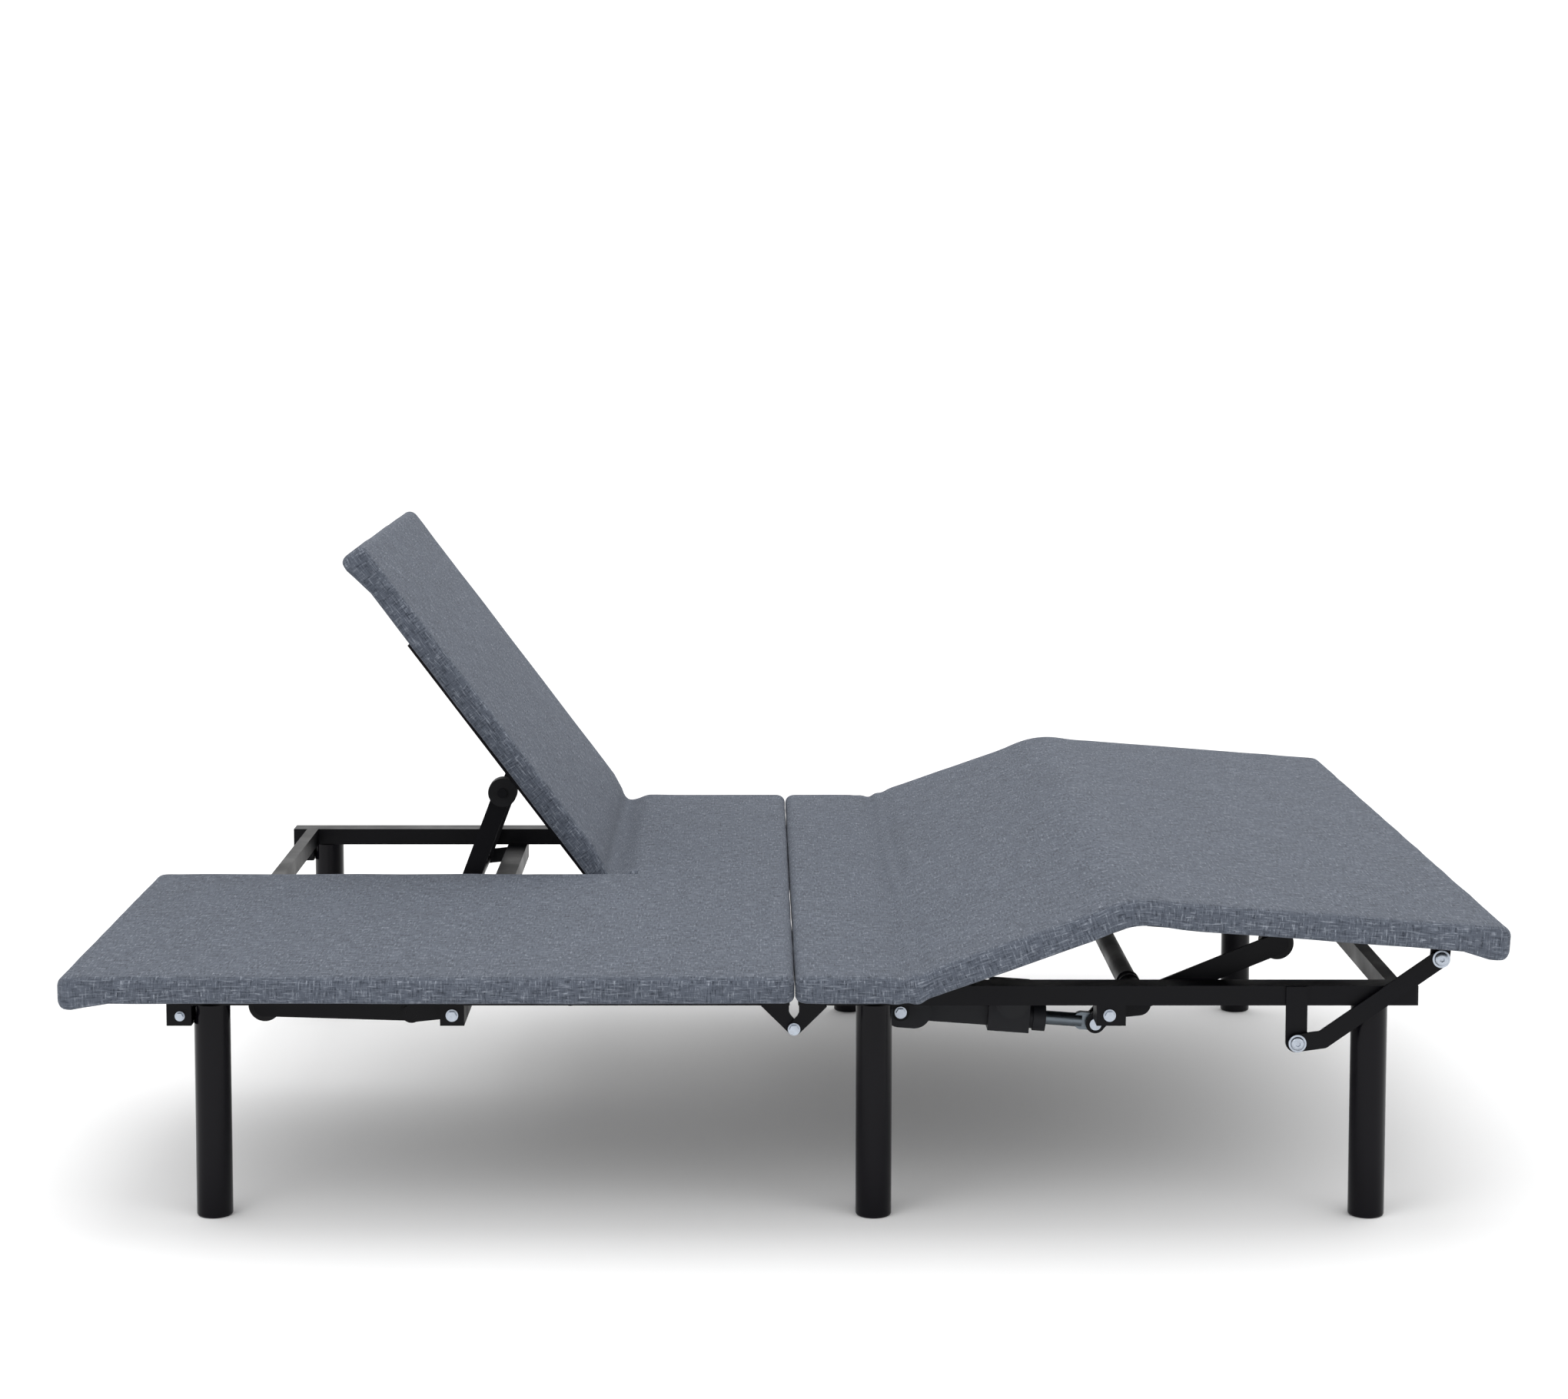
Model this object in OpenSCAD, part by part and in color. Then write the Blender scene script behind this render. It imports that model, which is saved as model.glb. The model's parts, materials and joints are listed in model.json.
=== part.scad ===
// Split-head adjustable bed base on six legs.
// X runs from the head end (-) to the foot end (+), Y across, Z up from the floor.
// The origin is on the floor, under the middle of the bed.

/* [Deck] */
// Width over both sides of the upholstered deck
deck_w = 1510; // [1400:10:1560]
// Thickness of an upholstered deck panel
deck_t = 36; // [30:1:45]
// Thickness of the plywood board inside a panel
board_t = 15; // [9:1:18]
// Head end of the deck when flat
head_end_x = -1000; // [-1040:5:-960]
// Foot end of the deck when flat
foot_end_x = 1015; // [990:5:1040]
// Gap between the two head halves, and between the two halves of the seat
split_gap = 5; // [4:1:10]

/* [Frame] */
// Height of the legs, which is the height of the underside of the rails
leg_h = 305; // [280:1:310]
// Diameter of a leg
leg_d = 50.8; // [40:0.1:52]
// Distance of each rail's centre line from the middle of the bed
rail_y = 617; // [600:1:620]
// Width of a side rail
rail_w = 40; // [36:1:42]
// Height of a side rail
rail_h = 28; // [26:1:28]
// Wall of the rails and cross tubes
tube_wall = 2; // [1.5:0.1:3]
// Head end of the side rails
rail_head_x = -866; // [-880:1:-860]
// Foot end of the side rails
rail_foot_x = 884; // [876:1:890]
// Where the frame folds in half for shipping
fold_x = 11; // [5:1:15]

/* [Pose] */
// Angle of the near head section
near_head_deg = 0; // [0:1:60]
// Angle of the far head section
far_head_deg = 53; // [0:1:60]
// Angle of the thigh section
leg_deg = 19.5; // [0:0.5:28]

/* [Hidden] */
$fn = 48;
deck_z = leg_h + rail_h + 1;
rail_out = rail_y + rail_w / 2;
rail_in = rail_y - rail_w / 2;
tube_top = leg_h + rail_h;
deck_y = deck_w / 2;

// Pivots, each [x, z]
head_pivot = [-306, leg_h - 2];
head_lift_pivot = [-531, head_pivot[1] - 19.3];
thigh_pivot = [180, leg_h - 2];
knee_pivot = [504, deck_z - 10];
foot_lift_pivot = [500, leg_h - 7];
foot_motor_pivot = [167, leg_h - 42];
fold_pivot = [fold_x, leg_h - 31.5];
link_foot = [716, leg_h - 51];
link_head = [944, leg_h - 4];

// Steel bars under the deck panels, on which the lift wheels roll
bar_h = 20;
bar_w = 30;
bar_y = 559;
inner_bar_y = 120;
plate_t = 5;
pin_d = 10;
pin_fit = 0.1;

// Lift arms and wheels
wheel_r = 23.5;
wheel_w = 24;
wheel_gap = 0.8;
torque_r = 15;
journal_d = 16;
head_arm_len = 211;
head_arm_flat_deg = 1.75;
head_arm_ratio = 2.056;
foot_arm_len = 215;
arm_h = 30;
arm_w = 6;

// Actuators
head_motor_y = 330;
foot_motor_y = 470;
head_crank_len = 32;
head_crank_flat_deg = 331.7;
head_yoke_rate = 0.8615;
foot_crank_len = 75;
foot_crank_deg = 229;
rod_d = 20;

// The head actuators lie level, at the middle height of the crank pins
head_motor_pivot = [-75, head_lift_pivot[1]
    - head_crank_len * (1 + cos(head_crank_flat_deg - 270)) / 2];
head_motor_bolt = head_motor_pivot - [34, 0];

fabric = "slategray";
black = [0.09, 0.09, 0.11];
steel = [0.75, 0.76, 0.78];
ply = "burlywood";
plastic = [0.16, 0.16, 0.17];

// ---- Geometry of the linkages -------------------------------------------

function dir(a) = [cos(a), sin(a)];
function angle_of(v) = atan2(v[1], v[0]);
function turn(v, a) = [
    v[0] * cos(a) - v[1] * sin(a),
    v[0] * sin(a) + v[1] * cos(a)
];
// Meeting point of two circles, the one to the right of a line from p to q
function meet(p, rp, q, rq) =
    let (d = norm(q - p))
    let (a = (rp * rp - rq * rq + d * d) / (2 * d))
    p + turn([a, -sqrt(rp * rp - a * a)], angle_of(q - p));

link_len = norm(link_head - link_foot);
knee_now = thigh_pivot + turn(knee_pivot - thigh_pivot, leg_deg);
link_head_now = meet(link_foot, link_len, knee_now,
                     norm(link_head - knee_pivot));
foot_deg = angle_of(link_head_now - knee_now)
    - angle_of(link_head - knee_pivot);
link_deg = angle_of(link_head_now - link_foot);

// Angle of the foot lift arm whose wheel touches the bar under the foot deck
wheel_drop = knee_pivot[1] - (deck_z - bar_h) + wheel_r + wheel_gap;
foot_normal = [-sin(foot_deg), cos(foot_deg)];
foot_arm_deg = foot_deg + asin(
    (-wheel_drop - (foot_lift_pivot - knee_now) * foot_normal) / foot_arm_len);

function head_arm_deg(a) = head_arm_flat_deg + head_arm_ratio * a;
function head_pin(a) = head_lift_pivot
    + head_crank_len * dir(head_crank_flat_deg - head_arm_ratio * a);

// Middle of the yoke that the head crank pin pushes, at deck angle a
function head_yoke(a) = [
    head_lift_pivot[0] + head_yoke_rate * head_crank_len * PI / 180
        * (head_crank_flat_deg - 270 - head_arm_ratio * a),
    head_motor_pivot[1]
];

foot_pin = foot_lift_pivot + foot_crank_len * dir(foot_crank_deg);
// The eye of the foot rod has play, and sits a little off the pin's centre
foot_eye = foot_pin + [0.94, 1.23];

// ---- Shared shapes --------------------------------------------------------

// Turn flat-drawn children about a pivot, lifting the +X side by a degrees
module swing(pivot, now, a) {
    translate([now[0], 0, now[1]])
        rotate([0, -a, 0])
            translate([-pivot[0], 0, -pivot[1]])
                children();
}

// Extrude an X-Z outline over the stretch y0 to y1
module slab(y0, y1) {
    translate([0, y1, 0])
        rotate([90, 0, 0])
            linear_extrude(y1 - y0)
                children();
}

module rod_y(p, d, y0, y1) {
    slab(y0, y1)
        translate(p)
            circle(d = d);
}

module both_sides() {
    children();
    mirror([0, 1, 0])
        children();
}

module box(x0, x1, y0, y1, z0, z1) {
    translate([x0, y0, z0])
        cube([x1 - x0, y1 - y0, z1 - z0]);
}

module tube_along_x(x0, x1, y, z0, z1, w) {
    difference() {
        box(x0, x1, y - w / 2, y + w / 2, z0, z1);
        box(x0 - 1, x1 + 1, y - w / 2 + tube_wall, y + w / 2 - tube_wall,
            z0 + tube_wall, z1 - tube_wall);
    }
}

module tube_along_y(x0, x1, y0, y1, z0, z1) {
    difference() {
        box(x0, x1, y0, y1, z0, z1);
        box(x0 + tube_wall, x1 - tube_wall, y0 - 1, y1 + 1,
            z0 + tube_wall, z1 - tube_wall);
    }
}

// Straight bar of width w between two points, with round ends. The straight
// part is a hair narrower, so that its edges cross the circles cleanly.
module bar_2d(p, q, w) {
    translate(p)
        rotate(angle_of(q - p))
            translate([0, 0.1 - w / 2])
                square([norm(q - p), w - 0.2]);
    translate(p)
        circle(d = w);
    translate(q)
        circle(d = w);
}

// Hexagon-head bolt along Y with a washer of w diameters under its head
module bolt_y(p, d, y_head, y_tip, w = 1.75) {
    s = sign(y_tip - y_head);
    a = min(y_head, y_tip);
    b = max(y_head, y_tip);
    rod_y(p, d, a, b);
    rod_y(p, w * d, min(y_head, y_head - s * 2), max(y_head, y_head - s * 2));
    h = y_head - s * 2;
    slab(min(h, h - s * 5), max(h, h - s * 5))
        translate(p)
            circle(d = 0.8 * w * d, $fn = 6);
}

// ---- Deck panels ----------------------------------------------------------

// Outline of a panel from x0 to x1 whose ends lean away from their pivots.
// lean0 and lean1 are the half angles that the hinges need at each end.
function leaning(x0, x1, z0, z1, lean0, lean1) =
    let (h0 = z0 - head_pivot[1], h1 = z1 - head_pivot[1])
    [
        [x0 + h0 * tan(lean0), z0],
        [x1 - h0 * tan(lean1), z0],
        [x1 - h1 * tan(lean1), z1],
        [x0 + h1 * tan(lean0), z1]
    ];

module board(x0, x1, y0, y1, lean0, lean1) {
    color(ply)
        slab(y0 + 14, y1 - 14)
            polygon(leaning(x0 + 12, x1 - 12, deck_z, deck_z + board_t,
                            lean0, lean1));
}

module cover(x0, x1, y0, y1, lean0, lean1) {
    color(fabric)
        difference() {
            slab(y0, y1)
                polygon(leaning(x0, x1, deck_z, deck_z + deck_t,
                                lean0, lean1));
            slab(y0 + 13.98, y1 - 13.98)
                polygon(leaning(x0 + 11.97, x1 - 11.97, deck_z - 0.001,
                                deck_z + board_t + 0.02, lean0, lean1));
        }
}

head_lean = 30;
leg_lean = 16;
half = split_gap / 2;

module head_pose(a) {
    swing(head_pivot, head_pivot, -a)
        children();
}
module thigh_pose() {
    swing(thigh_pivot, thigh_pivot, leg_deg)
        children();
}
module foot_pose() {
    swing(knee_pivot, knee_now, foot_deg)
        children();
}

// ---- Frame, foot half -----------------------------------------------------

module rail(x0, x1, y) {
    color(black)
        tube_along_x(x0, x1, y, leg_h, tube_top, rail_w);
}

module cross_tube(x, w) {
    tube_along_y(x, x + w, -rail_in, rail_in, leg_h, tube_top);
}

module foot_rail_near() { rail(fold_x + 6, rail_foot_x, -rail_y); }
module foot_rail_far() { rail(fold_x + 6, rail_foot_x, rail_y); }
module foot_end_tube() { color(black) cross_tube(rail_foot_x - 36, 20); }
module foot_fold_tube() { color(black) cross_tube(fold_x + 15, 20); }

// Ear that carries a hinge pin at p, welded on a cross tube that ends at x
module hinge_ear(p, x, y) {
    difference() {
        slab(y, y + plate_t)
            bar_2d([x, p[1] + 8], p, 22);
        rod_y(p, pin_d + pin_fit, y - 1, y + plate_t + 1);
    }
}

ear_y = bar_y + bar_w / 2;
frame_ear_y = ear_y + plate_t + 1;
inner_ear_y = inner_bar_y + bar_w / 2;
inner_frame_ear_y = inner_ear_y + plate_t + 1;

clevis_half = 30;

// Two plates that hold an actuator's rear pin at p, hung from a tube at q
module clevis(p, q, y) {
    for (side = [-1, 1])
        difference() {
            slab(y + side * clevis_half - plate_t / 2,
                 y + side * clevis_half + plate_t / 2)
                bar_2d(q, p, 26);
            rod_y(p, pin_d + pin_fit, y - 50, y + 50);
        }
}

module thigh_hinge_tube() {
    color(black) {
        cross_tube(thigh_pivot[0] - 40, 25);
        both_sides()
            hinge_ear(thigh_pivot, thigh_pivot[0] - 22, frame_ear_y);
        clevis(foot_motor_pivot, [thigh_pivot[0] - 26, leg_h + 12],
               -foot_motor_y);
    }
}

// V-shaped plate on one side of the fold. s is -1 for the head half.
module fold_plate(s, layer) {
    p = fold_pivot;
    difference() {
        union() {
            slab(rail_out, rail_out + layer)
                polygon([
                    [p[0] + s * 7, leg_h + 6],
                    [p[0] + s * 40, leg_h + 6],
                    [p[0] + s * 46, leg_h],
                    [p[0] + s * 24, leg_h - 19],
                    [p[0] + s * 14, leg_h - 19],
                    [p[0] + s * 7, leg_h - 8]
                ]);
            slab(rail_out + layer - 4, rail_out + layer)
                union() {
                    bar_2d([p[0] + s * 19, leg_h - 10], p, 18);
                    polygon([
                        [p[0] + s * 7, leg_h - 8],
                        [p[0] + s * 46, leg_h],
                        [p[0] + s * 7, p[1] - 7],
                        [p[0], p[1] - 9],
                        [p[0], p[1] + 9]
                    ]);
                }
        }
        rod_y(p, pin_d + pin_fit, rail_out - 1, rail_out + layer + 1);
    }
}

module foot_fold_plates() {
    color(black)
        both_sides()
            fold_plate(1, 8.5);
}
module head_fold_plates() {
    color(black)
        both_sides()
            fold_plate(-1, 4);
}
module fold_bolts() {
    color(steel)
        both_sides()
            bolt_y(fold_pivot, pin_d, rail_out + 8.6, rail_out - 6);
}

// A leg is a tube with a closed foot and a rounded rim
module leg(x) {
    r = leg_d / 2;
    translate([x, 0, 0])
        rotate_extrude($fn = 64)
            polygon([
                [0, 0], [r - 3, 0], [r - 0.9, 0.9], [r, 3], [r, leg_h],
                [r - tube_wall, leg_h], [r - tube_wall, 4], [0, 4]
            ]);
}
module leg_pair(x) {
    color(black)
        both_sides()
            translate([0, rail_y, 0])
                leg(x);
}
module legs_foot() { leg_pair(rail_foot_x - 62); }
module legs_mid() { leg_pair(fold_x + 113); }
module legs_head() { leg_pair(rail_head_x + 57); }

link_plate_y = rail_out + 4;
link_y = link_plate_y + 3;

module link_brackets() {
    color(black)
        both_sides()
            difference() {
                slab(rail_out, link_plate_y)
                    hull() {
                        translate([link_foot[0] - 15, leg_h])
                            square([30, rail_h - 0.5]);
                        translate(link_foot)
                            circle(d = 30);
                    }
                rod_y(link_foot, pin_d + pin_fit, rail_out - 1, 700);
            }
}
module link_pivot_bolts() {
    color(steel)
        both_sides() {
            bolt_y(link_foot, pin_d, link_y + plate_t + 0.5, rail_out - 8, 2.3);
            difference() {
                rod_y(link_foot, 18, link_plate_y, link_y - 0.5);
                rod_y(link_foot, pin_d, rail_out, link_y);
            }
        }
}

module foot_frame_pins() {
    color(steel) {
        both_sides() {
            bolt_y(thigh_pivot, pin_d, frame_ear_y + plate_t, ear_y - 3);
            bolt_y([foot_lift_pivot[0] - 46, leg_h - 14], pin_d, rail_out,
                   rail_out - 8);
        }
        bolt_y(foot_motor_pivot, pin_d, -foot_motor_y - clevis_half - 3,
               -foot_motor_y + clevis_half + 8);
    }
}

module rail_end_caps() {
    color(plastic)
        both_sides() {
            box(rail_foot_x, rail_foot_x + 3, rail_in, rail_out,
                leg_h, tube_top);
            box(rail_foot_x - 14, rail_foot_x + 1,
                rail_in + tube_wall, rail_out - tube_wall,
                leg_h + tube_wall, tube_top - tube_wall);
        }
}

// Brackets under the rails in which the foot torque tube turns
module foot_lift_bearings() {
    p = foot_lift_pivot;
    color(black)
        both_sides()
            difference() {
                union() {
                    tube_along_y(p[0] - 64, p[0] - 23, rail_in, rail_out,
                                 leg_h - 29, leg_h);
                    box(p[0] - 64, p[0] - 23, rail_out - 4, rail_out,
                        leg_h - 29, leg_h);
                    slab(rail_in - plate_t, rail_in)
                        union() {
                            bar_2d([p[0] - 46, leg_h - 12], p, 34);
                            translate([p[0] - 64, leg_h - 28])
                                square([41, 24]);
                        }
                }
                rod_y(p, journal_d + pin_fit, 500, 700);
                rod_y([p[0] - 46, leg_h - 14], pin_d + pin_fit, 500, 700);
            }
}

module control_box() {
    color(plastic) {
        difference() {
            box(fold_x + 40, fold_x + 122, 150, 340, 292, 330);
            box(fold_x + 60, fold_x + 88, 338, 341, 302, 322);
        }
        box(fold_x + 62, fold_x + 86, 330, 337, 304, 320);
    }
}

module seat_board_foot() {
    board(fold_x + half, thigh_pivot[0] - 1.5, -deck_y, deck_y, 0, leg_lean);
}
module seat_cover_foot() {
    cover(fold_x + half, thigh_pivot[0] - 1.5, -deck_y, deck_y, 0, leg_lean);
}

// ---- Frame, head half -----------------------------------------------------

module head_rail_near() { rail(rail_head_x, fold_x - 6, -rail_y); }
module head_rail_far() { rail(rail_head_x, fold_x - 6, rail_y); }
module head_end_tube() { color(black) cross_tube(rail_head_x + 20, 20); }

module head_fold_tube() {
    color(black) {
        cross_tube(fold_x - 41, 20);
        both_sides()
            difference() {
                union() {
                    clevis(head_motor_pivot, [fold_x - 32, leg_h + 12],
                           head_motor_y);
                    clevis(head_motor_bolt, head_motor_pivot - [14, 0],
                           head_motor_y);
                }
                for (p = [head_motor_pivot, head_motor_bolt])
                    rod_y(p, pin_d + pin_fit, head_motor_y - 50,
                          head_motor_y + 50);
            }
    }
}

module head_hinge_tube() {
    x = head_pivot[0] + 31;
    color(black) {
        cross_tube(x, 25);
        both_sides() {
            hinge_ear(head_pivot, x + 8, frame_ear_y);
            hinge_ear(head_pivot, x + 8, inner_frame_ear_y);
        }
    }
}

// Tube bolted under the rails, with the ears for both head torque tubes
module head_lift_tube() {
    p = head_lift_pivot;
    x0 = p[0] + 45;
    color(black)
        difference() {
            union() {
                tube_along_y(x0, x0 + 34, -rail_out, rail_out,
                             leg_h - 29, leg_h);
                both_sides()
                    box(x0, x0 + 34, rail_out - 4, rail_out,
                        leg_h - 29, leg_h);
                both_sides()
                    for (y = [30, rail_in - plate_t])
                        slab(y, y + plate_t)
                            bar_2d([x0 + 6, leg_h - 16], p, 25);
            }
            rod_y(p, journal_d + pin_fit, -700, 700);
            rod_y([x0 + 17, leg_h - 14], pin_d + pin_fit, -700, 700);
        }
}

module headboard_brackets() {
    color(black)
        both_sides()
            difference() {
                union() {
                    box(rail_head_x, rail_head_x + 31, rail_in, rail_out,
                        leg_h - 29, leg_h);
                    box(rail_head_x - 4, rail_head_x, rail_in, rail_out,
                        leg_h - 29, tube_top);
                }
                box(rail_head_x - 0.01, rail_head_x + 32, rail_in + 4,
                    rail_out - 4, leg_h - 25, leg_h - 4);
                rod_y([rail_head_x + 15, leg_h - 15], 8 + pin_fit, 600, 700);
                for (z = [leg_h - 15, leg_h + 13])
                    translate([rail_head_x - 5, rail_y, z])
                        rotate([0, 90, 0])
                            cylinder(d = 9, h = 8);
            }
}

module head_frame_pins() {
    color(steel)
        both_sides() {
            bolt_y(head_pivot, pin_d, frame_ear_y + plate_t, ear_y - 3);
            bolt_y(head_pivot, pin_d, inner_frame_ear_y + plate_t,
                   inner_ear_y - 3);
            for (p = [head_motor_pivot, head_motor_bolt])
                bolt_y(p, pin_d, head_motor_y + clevis_half + 3,
                       head_motor_y - clevis_half - 8);
            bolt_y([rail_head_x + 15, leg_h - 15], 8, rail_out, rail_out - 8);
            bolt_y([head_lift_pivot[0] + 62, leg_h - 14], pin_d, rail_out,
                   rail_out - 8);
        }
}

module seat_board_head() {
    board(head_pivot[0] + 1.5, fold_x - half, -deck_y, deck_y, head_lean, 0);
}
module seat_cover_head() {
    cover(head_pivot[0] + 1.5, fold_x - half, -deck_y, deck_y, head_lean, 0);
}

// ---- Head sections --------------------------------------------------------

// Outline of one head section, which lies between y0 and y1
module near_or_far(side) {
    mirror([0, side > 0 ? 1 : 0, 0])
        children();
}

module head_board(side, a) {
    near_or_far(side)
        head_pose(a)
            board(head_end_x, head_pivot[0] - 1.5, -deck_y, -half,
                  0, head_lean);
}

module head_cover(side, a) {
    near_or_far(side)
        head_pose(a)
            cover(head_end_x, head_pivot[0] - 1.5, -deck_y, -half,
                  0, head_lean);
}

module deck_bar(x0, x1, y) {
    tube_along_x(x0, x1, y, deck_z - bar_h, deck_z, bar_w);
}

// Ear at the end of a deck bar, from a point on the bar at x to the pin at p
module deck_ear(x, p, y0, y1, w) {
    difference() {
        slab(y0, y1)
            bar_2d([x, deck_z - bar_h / 2], p, w);
        rod_y(p, pin_d + pin_fit, y0 - 1, y1 + 1);
    }
}

module head_bars(side, a) {
    x1 = head_pivot[0] - 26;
    color(black)
        near_or_far(side)
            head_pose(a)
                for (y = [bar_y, inner_bar_y]) {
                    deck_bar(rail_head_x + 42, x1, -y);
                    deck_ear(x1 - 12, head_pivot, -y - bar_w / 2 - plate_t,
                             -y - bar_w / 2, 20);
                }
}

module head_board_near() { head_board(-1, near_head_deg); }
module head_board_far() { head_board(1, far_head_deg); }
module head_cover_near() { head_cover(-1, near_head_deg); }
module head_cover_far() { head_cover(1, far_head_deg); }
module head_bars_near() { head_bars(-1, near_head_deg); }
module head_bars_far() { head_bars(1, far_head_deg); }

// ---- Head lift ------------------------------------------------------------

arm_y0 = bar_y + bar_w / 2 - 2;
inner_arm_y0 = inner_bar_y + bar_w / 2 - 2;

// Lift arm with its axle, beside a wheel that runs under the bar at y
module lift_arm(p, q, y0) {
    slab(y0, y0 + arm_w)
        bar_2d(p, q, arm_h);
    rod_y(q, pin_d, y0 - wheel_w - 4, y0 + 1);
    rod_y(q, 16, y0 - wheel_w - 5, y0 - wheel_w - 2);
}

module lift_wheel(q, y0) {
    difference() {
        rod_y(q, 2 * wheel_r, y0 - wheel_w - 1, y0 - 1);
        rod_y(q, pin_d + pin_fit, y0 - wheel_w - 2, y0);
    }
}

// Two webs that take the pin of an actuator's rod between them
module crank(p, q, y, w) {
    for (side = [-1, 1])
        slab(y + side * 11 - 2.5, y + side * 11 + 2.5) {
            bar_2d(p, q, w);
            translate(p)
                circle(d = 34);
        }
}

module head_lifter(side, a) {
    p = head_lift_pivot;
    arm = head_arm_deg(a);
    q = p + head_arm_len * [-cos(arm), sin(arm)];
    color(black)
        near_or_far(side)
            mirror([0, 1, 0]) {
                rod_y(p, 2 * torque_r, 37, head_motor_y - 10);
                rod_y(p, 2 * torque_r, head_motor_y + 10,
                      rail_in - plate_t - 2);
                rod_y(p, journal_d, 30, 38);
                rod_y(p, journal_d, rail_in - plate_t - 3, rail_in);
                lift_arm(p, q, arm_y0);
                lift_arm(p, q, inner_arm_y0);
                crank(p, head_pin(a), head_motor_y, 24);
                rod_y(head_pin(a), pin_d, head_motor_y - 13,
                      head_motor_y + 13);
            }
}

module head_wheels(side, a) {
    p = head_lift_pivot;
    arm = head_arm_deg(a);
    q = p + head_arm_len * [-cos(arm), sin(arm)];
    color(plastic)
        near_or_far(side)
            mirror([0, 1, 0]) {
                lift_wheel(q, arm_y0);
                lift_wheel(q, inner_arm_y0);
            }
}

module head_lifter_near() { head_lifter(-1, near_head_deg); }
module head_lifter_far() { head_lifter(1, far_head_deg); }
module head_wheels_near() { head_wheels(-1, near_head_deg); }
module head_wheels_far() { head_wheels(1, far_head_deg); }

// ---- Actuators ------------------------------------------------------------

// Place children drawn along +X from the rear pin p towards q, at y
module along(p, q, y) {
    translate([p[0], y, p[1]])
        rotate([0, -angle_of(q - p), 0])
            children();
}

module rod_x(d, x0, x1) {
    translate([x0, 0, 0])
        rotate([0, 90, 0])
            cylinder(d = d, h = x1 - x0);
}

rod_bore = rod_d + pin_fit;

// Outer tube and collar of an actuator, with the bore that the rod slides in
module actuator_tube(x0, x1) {
    difference() {
        union() {
            rod_x(34, x0, x1 - 16);
            rod_x(40, x1 - 18, x1);
        }
        rod_x(rod_d + 4, x0 - 1, max(x0, x1 - 30));
        rod_x(rod_bore, x0 - 1, x1 + 1);
    }
}

// Rod with a flat eye around the crank pin at x
module actuator_rod(x0, x, play) {
    color(steel)
        difference() {
            union() {
                rod_x(rod_d, x0, x - 20);
                slab(-6, 6)
                    bar_2d([x - 20, 0], [x, 0], 20 + 2 * play);
            }
            rod_y([x, 0], pin_d + 2 * play, -10, 10);
        }
}

foot_play = 2.6;

// Rod that ends in a flat bar with an upright slot for the crank pin at x
module yoke_rod(x0, x) {
    color(steel)
        difference() {
            union() {
                rod_x(rod_d, x0, x - 60);
                slab(-6, 6) {
                    bar_2d([x - 68, 0], [x, 0], 19);
                    bar_2d([x, -8.5], [x, 8.5], 26);
                }
            }
            slab(-8, 8)
                bar_2d([x, -8.5], [x, 8.5], 13.6);
        }
}

module head_actuator(side) {
    near_or_far(side)
        mirror([0, 1, 0])
            along(head_motor_pivot, head_yoke(0), head_motor_y)
                children();
}

module head_gearbox() {
    color(plastic) {
        difference() {
            union() {
                slab(-24, 24)
                    bar_2d([0, 0], [30, 0], 44);
                box(20, 165, -24, 24, -22, 22);
            }
            for (x = [0, 34])
                rod_y([x, 0], pin_d + pin_fit, -30, 30);
            rod_x(rod_d + 4, 90, 166);
        }
        actuator_tube(165, 345);
    }
}

module head_motor_can() {
    color(black) {
        translate([0, -51, 0]) {
            rod_x(50, 56, 168);
            rod_x(40, 52, 172);
        }
    }
}

module head_actuator_near() {
    head_actuator(-1)
        head_gearbox();
}
module head_actuator_far() {
    head_actuator(1)
        head_gearbox();
}
module head_motor_near() {
    head_actuator(-1)
        head_motor_can();
}
module head_motor_far() {
    head_actuator(1)
        head_motor_can();
}
module head_rod(side, a) {
    len = head_motor_pivot[0] - head_yoke(a)[0];
    head_actuator(side)
        yoke_rod(len - 320, len);
}
module head_rod_near() { head_rod(-1, near_head_deg); }
module head_rod_far() { head_rod(1, far_head_deg); }

// ---- Thigh and foot sections ----------------------------------------------

module thigh_board() {
    thigh_pose()
        board(thigh_pivot[0] + 1.5, knee_pivot[0] - 1.5, -deck_y, deck_y,
              leg_lean, 0);
}
module thigh_cover() {
    thigh_pose()
        cover(thigh_pivot[0] + 1.5, knee_pivot[0] - 1.5, -deck_y, deck_y,
              leg_lean, 0);
}
module thigh_bars() {
    x0 = thigh_pivot[0] + 26;
    x1 = knee_pivot[0] - 16;
    color(black)
        thigh_pose()
            both_sides() {
                deck_bar(x0, x1, bar_y);
                deck_ear(x0 + 12, thigh_pivot, ear_y, ear_y + plate_t, 20);
                deck_ear(x1 - 12, knee_pivot, ear_y, ear_y + plate_t, 18);
                rod_y(knee_pivot, pin_d, ear_y, ear_y + 2 * plate_t + 4);
            }
}

module foot_board() {
    foot_pose()
        board(knee_pivot[0] + 1.5, foot_end_x, -deck_y, deck_y, 0, 0);
}
module foot_cover() {
    foot_pose()
        cover(knee_pivot[0] + 1.5, foot_end_x, -deck_y, deck_y, 0, 0);
}

link_ear_y = link_y - 1 - plate_t;

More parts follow.
